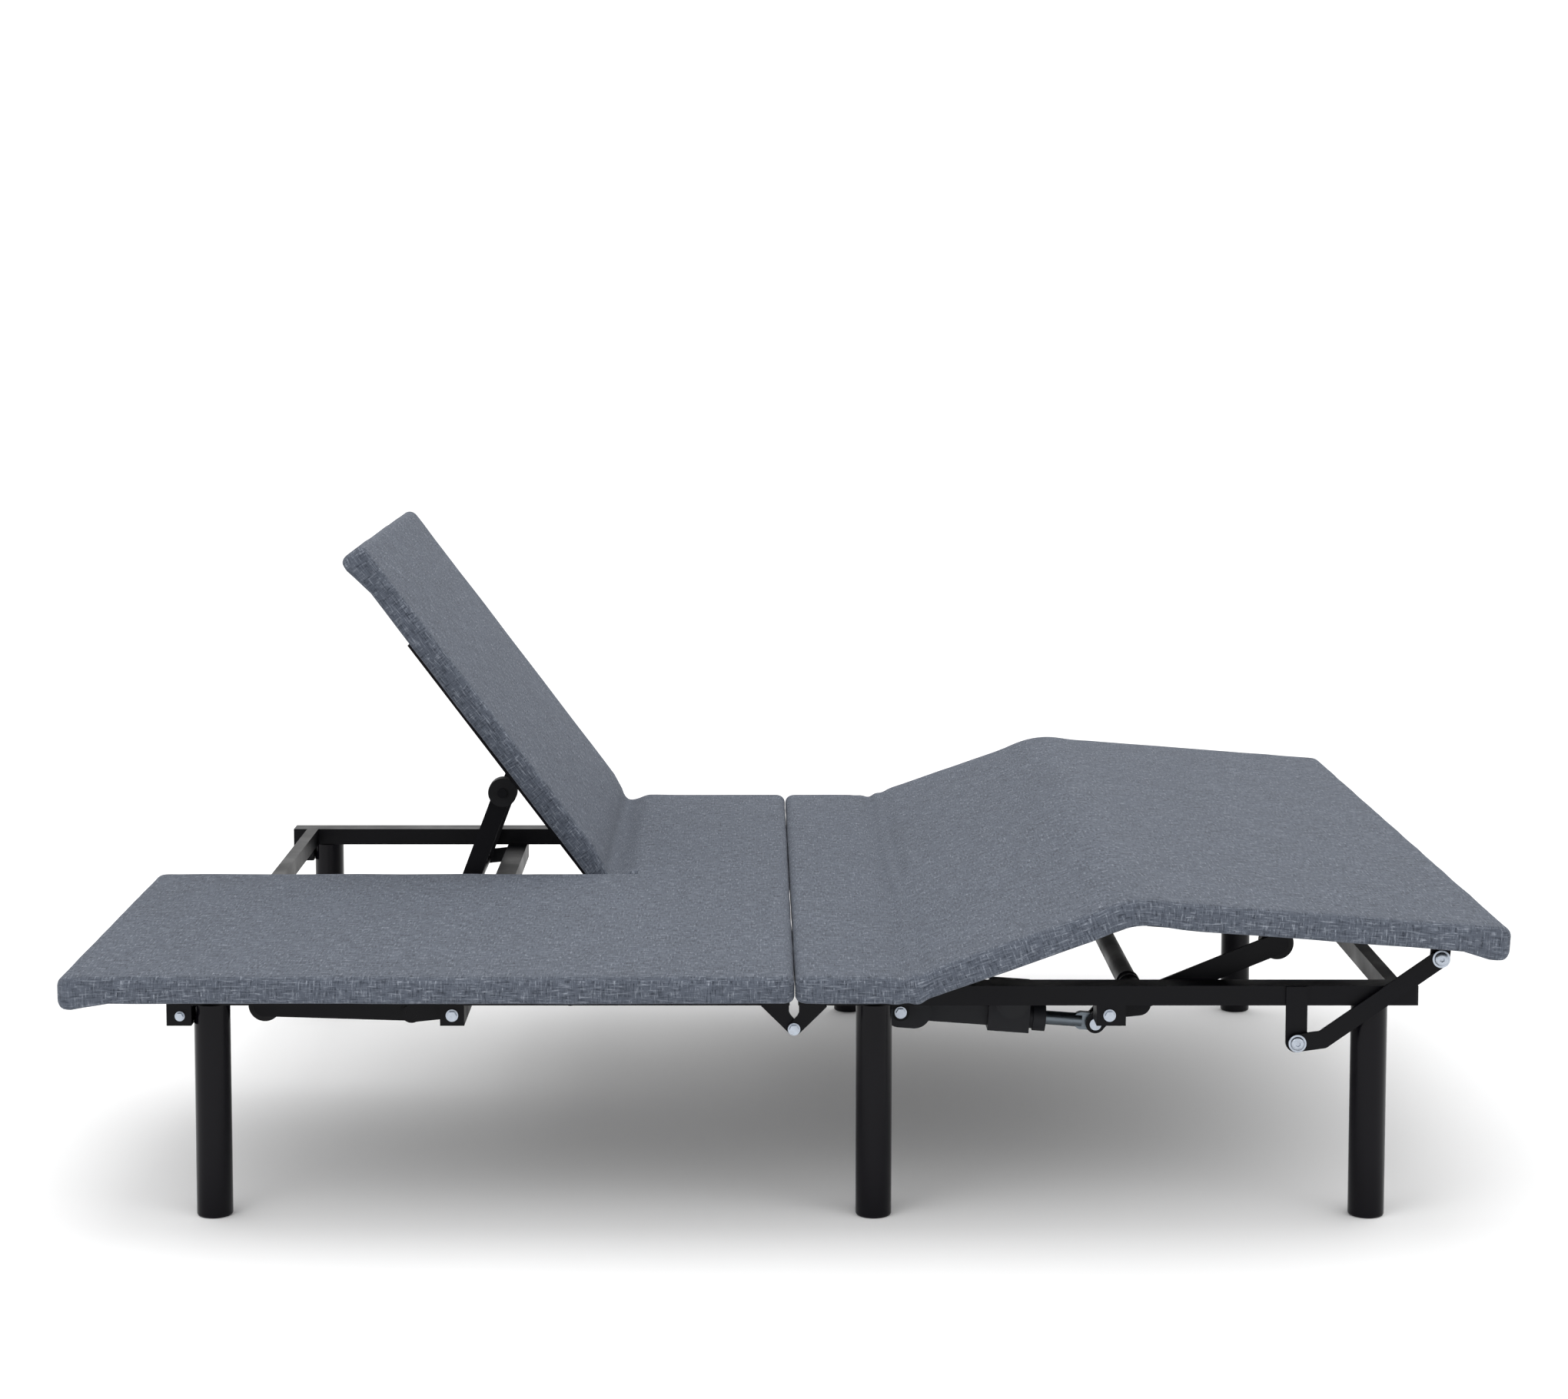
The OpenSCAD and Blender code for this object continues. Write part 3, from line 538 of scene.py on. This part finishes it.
def cloth_map(mesh, y0, y1):
    """UVs in metres, taken from the flat cover, that follow the weave over the
    side and the ends."""
    size = bpy.context.scene.bed_sizes
    uv = mesh.uv_layers.new(name="cloth").data
    for f in mesh.polygons:
        n = f.normal
        for i in f.loop_indices:
            c = mesh.vertices[mesh.loops[i].vertex_index].co
            if abs(n.z) > LEVEL_FACE:
                uv[i].uv = (c.x, c.y)
            elif abs(n.y) >= abs(n.x):
                side, edge = (1, y1) if n.y > 0 else (-1, y0)
                uv[i].uv = (c.x, edge + side * (size.top - c.z))
            else:
                uv[i].uv = (c.y + ENDS_SHIFT, c.z)


def shaped(co, normal, lips, creases):
    """Moves flat points: uneven padding, thick lips and folds over hinges.

    lips are (x of the end, -1 or 1) and creases are (x, width, strength)."""
    size = bpy.context.scene.bed_sizes
    out = co.copy()
    for i, (p, n) in enumerate(zip(co, normal)):
        if p[2] > size.board_top + 0.001 or abs(n[2]) < 0.9 or p[2] < HEM_TOP:
            k = size.slack * noise.noise(Vector(p) * LUMPS)
            k += DENT_SHARE * size.slack * noise.noise(Vector(p) * DENTS)
            out[i] += n * k
    for end, way in lips:
        u = 1 - np.clip((end - co[:, 0]) * way / size.lip_length, 0, 1)
        low = np.clip((size.board_top - co[:, 2])
                      / (size.board_top - size.underside), 0, 1)
        out[:, 2] -= size.lip_drop * eased(u * 2.0) * low
    for at, width, strength in creases:
        u = (co[:, 0] - at) / width
        wave = np.exp(-u * u * 2.2) * np.sin(u * 6.5 + np.sin(co[:, 1] * 7) * 0.5)
        out += normal * (strength * size.crease * wave)[:, None]
    return out


def make_cover(name, x0, x1, y0, y1, joined=(False, False), lips=(), creases=(),
               bend=None, lift=0.0):
    """One wrapped cover. bend is (pivot, angle a, angle b, start x, end x)."""
    zones = [(bend[3], bend[4])] if bend else []
    zones += [(at - w, at + w) for at, w, _ in creases]
    obj = padded_slab(name, x0, x1, y0, y1, joined[0], joined[1], zones)
    mesh = obj.data
    cloth_map(mesh, y0, y1)
    top = bpy.context.scene.bed_sizes.board_top
    hollow = {f.index for f in mesh.polygons
              if f.normal.z < -0.9 and abs(f.center.z - top) < 0.0005}
    co = np.array([v.co for v in mesh.vertices])
    normal = np.array([v.normal for v in mesh.vertices])
    for flag, at in ((joined[0], x0), (joined[1], x1)):
        if flag:
            rim = np.abs(co[:, 0] - at) < 1e-4
            normal[rim, 0] = 0
            span = np.maximum(np.linalg.norm(normal[rim], axis=1), EPSILON)
            normal[rim] /= span[:, None]
    co = shaped(co, normal, lips, creases)
    ends = None
    if bend:
        flat = co[:, [0, 2]]
        bent, s, e = wrapped(flat, *bend)
        pair = turned(np.array([s, e]), THIGH_PIVOT, lift)
        bent = turned(bent, THIGH_PIVOT, lift)
        co[:, 0], co[:, 2] = bent[:, 0], bent[:, 1]
        ends = [(p[0], 0.0, p[1]) for p in pair]
    mesh.vertices.foreach_set("co", co.astype(np.float32).ravel())
    mesh.update()
    dress(obj, "deck_fabric", "plywood")
    for f in mesh.polygons:
        f.material_index = int(f.index in hollow)
    choose(obj)
    bpy.ops.object.shade_smooth_by_angle(angle=radians(COVER_EDGE))
    obj.select_set(False)
    return obj, ends


class BEDBASE_OT_head_covers(bpy.types.Operator):
    """Wrapped covers of the two head halves, which bend over the head hinge"""

    bl_idname = "bedbase.head_covers"
    bl_label = "Head covers"

    def execute(self, context):
        for side, y0, y1, angle in (
                ("near", -HALF_WIDTH, -HALF_SPLIT, 0.0),
                ("far", HALF_SPLIT, HALF_WIDTH, HEAD_LIFT)):
            obj, (s, e) = make_cover(
                "cover_head_" + side, HEAD_END, SEAT_SEAM, y0, y1, (False, True),
                lips=[(HEAD_END, -1)], bend=(HEAD_PIVOT, -angle, 0.0, *HEAD_BEND))
            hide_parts("head_cover_" + side)
            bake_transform(obj)
        return {"FINISHED"}


class BEDBASE_OT_seat_cover(bpy.types.Operator):
    """Wrapped cover of the seat's head half, up to the fold of the frame"""

    bl_idname = "bedbase.seat_cover"
    bl_label = "Seat cover"

    def execute(self, context):
        obj, _ = make_cover("cover_seat", SEAT_SEAM, FOLD_HEAD_SIDE, -HALF_WIDTH,
                            HALF_WIDTH, (True, False))
        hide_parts("seat_cover_head")
        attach(obj, "head_frame")
        return {"FINISHED"}


class BEDBASE_OT_leg_covers(bpy.types.Operator):
    """Wrapped covers from the fold over the thigh hinge and the knee"""

    bl_idname = "bedbase.leg_covers"
    bl_label = "Leg covers"

    def execute(self, context):
        obj, (s, e) = make_cover(
            "cover_seat_thigh", FOLD_FOOT_SIDE, THIGH_SEAM, -HALF_WIDTH,
            HALF_WIDTH, (False, True),
            creases=[(THIGH_PIVOT[0], CREASE_WIDTH, 1.0)],
            bend=(THIGH_PIVOT, 0.0, THIGH_LIFT, *THIGH_BEND))
        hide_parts("seat_cover_foot", "thigh_cover")
        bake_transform(obj)
        obj, (s, e) = make_cover(
            "cover_thigh_foot", THIGH_SEAM, FOOT_END, -HALF_WIDTH, HALF_WIDTH,
            (True, False), lips=[(FOOT_END, 1)],
            bend=(KNEE_FLAT, 0.0, foot_tilt() - THIGH_LIFT, *KNEE_BEND),
            lift=THIGH_LIFT)
        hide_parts("foot_cover")
        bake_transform(obj)
        return {"FINISHED"}


def foot_tilt():
    """The foot panel's angle at rest, from the slope of its board's underside."""
    points = np.array([v.co for v in frame["nodes"]["foot_board"].data.vertices])
    x = points[:, 0]
    low = points[x < x.min() + BOARD_END]
    far = points[x > x.max() - BOARD_END]
    a = low[low[:, 2].argmin()]
    b = far[far[:, 2].argmin()]
    return atan2(b[2] - a[2], b[0] - a[0])


# ---- Bolts -------------------------------------------------------------------

FLANGE_RADIUS = 0.0125
FLANGE_THICKNESS = 0.0022
# Width of the flange outside the head
FLANGE_WIDTH = 0.0026
# Rings of the domed head, each as (rise, size against the ring before)
DOME = ((0.0016, 0.97), (0.0014, 0.9), (0.0009, 0.8), (0.0004, 0.78))
SOCKET_RADIUS = 0.0036
SOCKET_DEPTH = 0.006
SOCKET_MIDDLE = -0.0062
RIM_RADIUS = 0.00025
# How far a link bolt's seat lies below the CAD bolt's outer end
SEAT_DEPTH = 0.007


def flange_bolt():
    """A button-head bolt with a wide flange and a hexagon socket, its seat at
    the origin, facing -Y."""
    choose()
    bpy.ops.mesh.primitive_cylinder_add(
        vertices=48, radius=FLANGE_RADIUS, depth=FLANGE_THICKNESS,
        location=(0, -FLANGE_THICKNESS / 2, 0), rotation=(pi / 2, 0, 0))
    bolt = bpy.context.active_object
    bpy.ops.object.transform_apply(location=True, rotation=True, scale=True)

    for part in (*bolt.data.vertices, *bolt.data.edges):
        part.select = False
    front = min(v.co.y for v in bolt.data.vertices)
    for f in bolt.data.polygons:
        f.select = f.normal.y < -0.99 and abs(f.center.y - front) < EPSILON
    bpy.ops.object.mode_set(mode="EDIT")
    bpy.ops.mesh.select_mode(type="FACE")
    bpy.ops.mesh.inset(thickness=FLANGE_WIDTH, depth=0)
    for rise, shrink in DOME:
        bpy.ops.mesh.extrude_region_move(
            TRANSFORM_OT_translate={"value": (0, -rise, 0)})
        bpy.ops.transform.resize(value=(shrink, 1, shrink))
    bpy.ops.object.mode_set(mode="OBJECT")
    choose()
    bpy.ops.mesh.primitive_cylinder_add(
        vertices=6, radius=SOCKET_RADIUS, depth=SOCKET_DEPTH,
        location=(0, SOCKET_MIDDLE, 0), rotation=(pi / 2, 0, 0))
    socket = bpy.context.active_object
    cut = bolt.modifiers.new("socket", "BOOLEAN")
    cut.operation = "DIFFERENCE"
    cut.object = socket
    cut.solver = "EXACT"
    rim = bolt.modifiers.new("rim", "BEVEL")
    rim.width = RIM_RADIUS
    rim.segments = 2
    rim.limit_method = "ANGLE"
    choose(bolt)
    bpy.ops.object.modifier_apply(modifier="socket")
    bpy.ops.object.modifier_apply(modifier="rim")
    bpy.data.objects.remove(socket)
    bpy.ops.object.shade_smooth_by_angle(angle=radians(BOLT_EDGE))
    return bolt


class BEDBASE_OT_link_bolts(bpy.types.Operator):
    """Flanged socket bolts at both ends of the two swing links"""

    bl_idname = "bedbase.link_bolts"
    bl_label = "Link bolts"

    def execute(self, context):
        for node, body in (("link_pivot_bolts", "foot_frame"),
                           ("link_head_bolts", "foot_deck")):
            low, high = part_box(node)
            x, z = (low.x + high.x) / 2, (low.z + high.z) / 2
            seat = high.y - SEAT_DEPTH
            first = flange_bolt()
            second = first.copy()
            second.data = first.data.copy()
            context.scene.collection.objects.link(second)
            for obj, side in ((first, -1), (second, 1)):
                choose(obj)
                obj.location = (x, side * seat, z)
                if side > 0:
                    obj.rotation_euler = (0, 0, pi)
                bpy.ops.object.transform_apply(location=True, rotation=True,
                                               scale=True)
            choose(first, second)
            bpy.ops.object.join()
            first.name = node.replace("_bolts", "_flange_bolts")
            dress(first, "zinc_steel")
            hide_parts(node)
            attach(first, body)
        return {"FINISHED"}


# ---- Finishes of the CAD nodes, and the stage ---------------------------------


class BEDBASE_OT_finishes(bpy.types.Operator):
    """Gives every carried-over CAD node the finish of its material slot"""

    bl_idname = "bedbase.finishes"
    bl_label = "Frame finishes"

    def execute(self, context):
        for part in frame["record"]["subparts"]:
            dress(frame["nodes"][part["node"]], part["material_slot"])
        return {"FINISHED"}


FLOOR_SIDE = 60
WORLD_STRENGTH = 1.25
# Area lights: name, place, point it faces, side in metres, power in watts
LIGHTS = (
    ("key", (-2.6, -3.6, 3.6), (0, 0, 0.3), 2.6, 28),
    ("fill", (3.2, -3.0, 2.0), (0.2, 0, 0.2), 2.2, 10),
    ("overhead", (0.0, 0.2, 4.4), (0, 0, 0), 3.6, 40),
)
CAMERA_PLACE = (-0.0426, -5.0037, 1.3433)
# Degrees below level
CAMERA_PITCH = 5.055
CAMERA_LENS = 72.66
CAMERA_SHIFT = (0.018, -0.1)


def look_at(obj, target):
    """Turns a light so that it faces a point."""
    d = Vector(target) - obj.location
    obj.rotation_euler = d.to_track_quat("-Z", "Y").to_euler()


class BEDBASE_OT_stage(bpy.types.Operator):
    """Pale floor, soft lights and the camera"""

    bl_idname = "bedbase.stage"
    bl_label = "Stage"

    def execute(self, context):
        choose()
        bpy.ops.mesh.primitive_plane_add(size=1, location=(0, 0, 0))
        floor = context.active_object
        floor.name = "studio_floor"
        floor.scale = (FLOOR_SIDE, FLOOR_SIDE, 1)
        bpy.ops.object.transform_apply(location=True, rotation=True, scale=True)
        dress(floor, "floor")
        world = bpy.data.worlds.new("studio")
        context.scene.world = world
        world.use_nodes = True
        back = world.node_tree.nodes["Background"]
        back.inputs["Color"].default_value = (1.0, 1.0, 1.0, 1.0)
        back.inputs["Strength"].default_value = WORLD_STRENGTH
        for name, place, target, size, power in LIGHTS:
            data = bpy.data.lights.new(name, "AREA")
            data.energy = power
            data.size = size
            light = bpy.data.objects.new(name, data)
            light.location = place
            context.scene.collection.objects.link(light)
            look_at(light, target)
        data = bpy.data.cameras.new("view")
        data.sensor_width = 36.0
        data.lens = CAMERA_LENS
        data.shift_x, data.shift_y = CAMERA_SHIFT
        data.clip_end = 100.0
        camera = bpy.data.objects.new("view", data)
        camera.location = CAMERA_PLACE
        camera.rotation_euler = (radians(90 - CAMERA_PITCH), 0, 0)
        context.scene.collection.objects.link(camera)
        context.scene.camera = camera
        context.scene.view_settings.view_transform = "Standard"
        return {"FINISHED"}


class BEDBASE_PT_panel(bpy.types.Panel):
    """Lists the steps that draw the bed base"""

    bl_label = "Bed base"
    bl_idname = "BEDBASE_PT_panel"
    bl_space_type = "VIEW_3D"
    bl_region_type = "UI"
    bl_category = "Bed base"

    def draw(self, context):
        for step in STEPS:
            self.layout.operator(step.bl_idname)
        for group in (context.scene.bed_sizes, context.scene.bed_colours):
            box = self.layout.box()
            for name in group.bl_rna.properties.keys():
                if name not in ("rna_type", "name"):
                    box.prop(group, name)


STEPS = (BEDBASE_OT_finishes, BEDBASE_OT_head_covers, BEDBASE_OT_seat_cover,
         BEDBASE_OT_leg_covers, BEDBASE_OT_link_bolts, BEDBASE_OT_stage)
CLASSES = (BEDBASE_PG_sizes, BEDBASE_PG_colours, *STEPS, BEDBASE_PT_panel)


def register():
    for c in CLASSES:
        bpy.utils.register_class(c)
    bpy.types.Scene.bed_sizes = bpy.props.PointerProperty(type=BEDBASE_PG_sizes)
    bpy.types.Scene.bed_colours = bpy.props.PointerProperty(type=BEDBASE_PG_colours)


def unregister():
    del bpy.types.Scene.bed_colours
    del bpy.types.Scene.bed_sizes
    for c in reversed(CLASSES):
        bpy.utils.unregister_class(c)


def main():
    register()
    bpy.ops.bedbase.finishes()
    bpy.ops.bedbase.head_covers()
    bpy.ops.bedbase.seat_cover()
    bpy.ops.bedbase.leg_covers()
    bpy.ops.bedbase.link_bolts()
    bpy.ops.bedbase.stage()


if __name__ == "__main__":
    main()
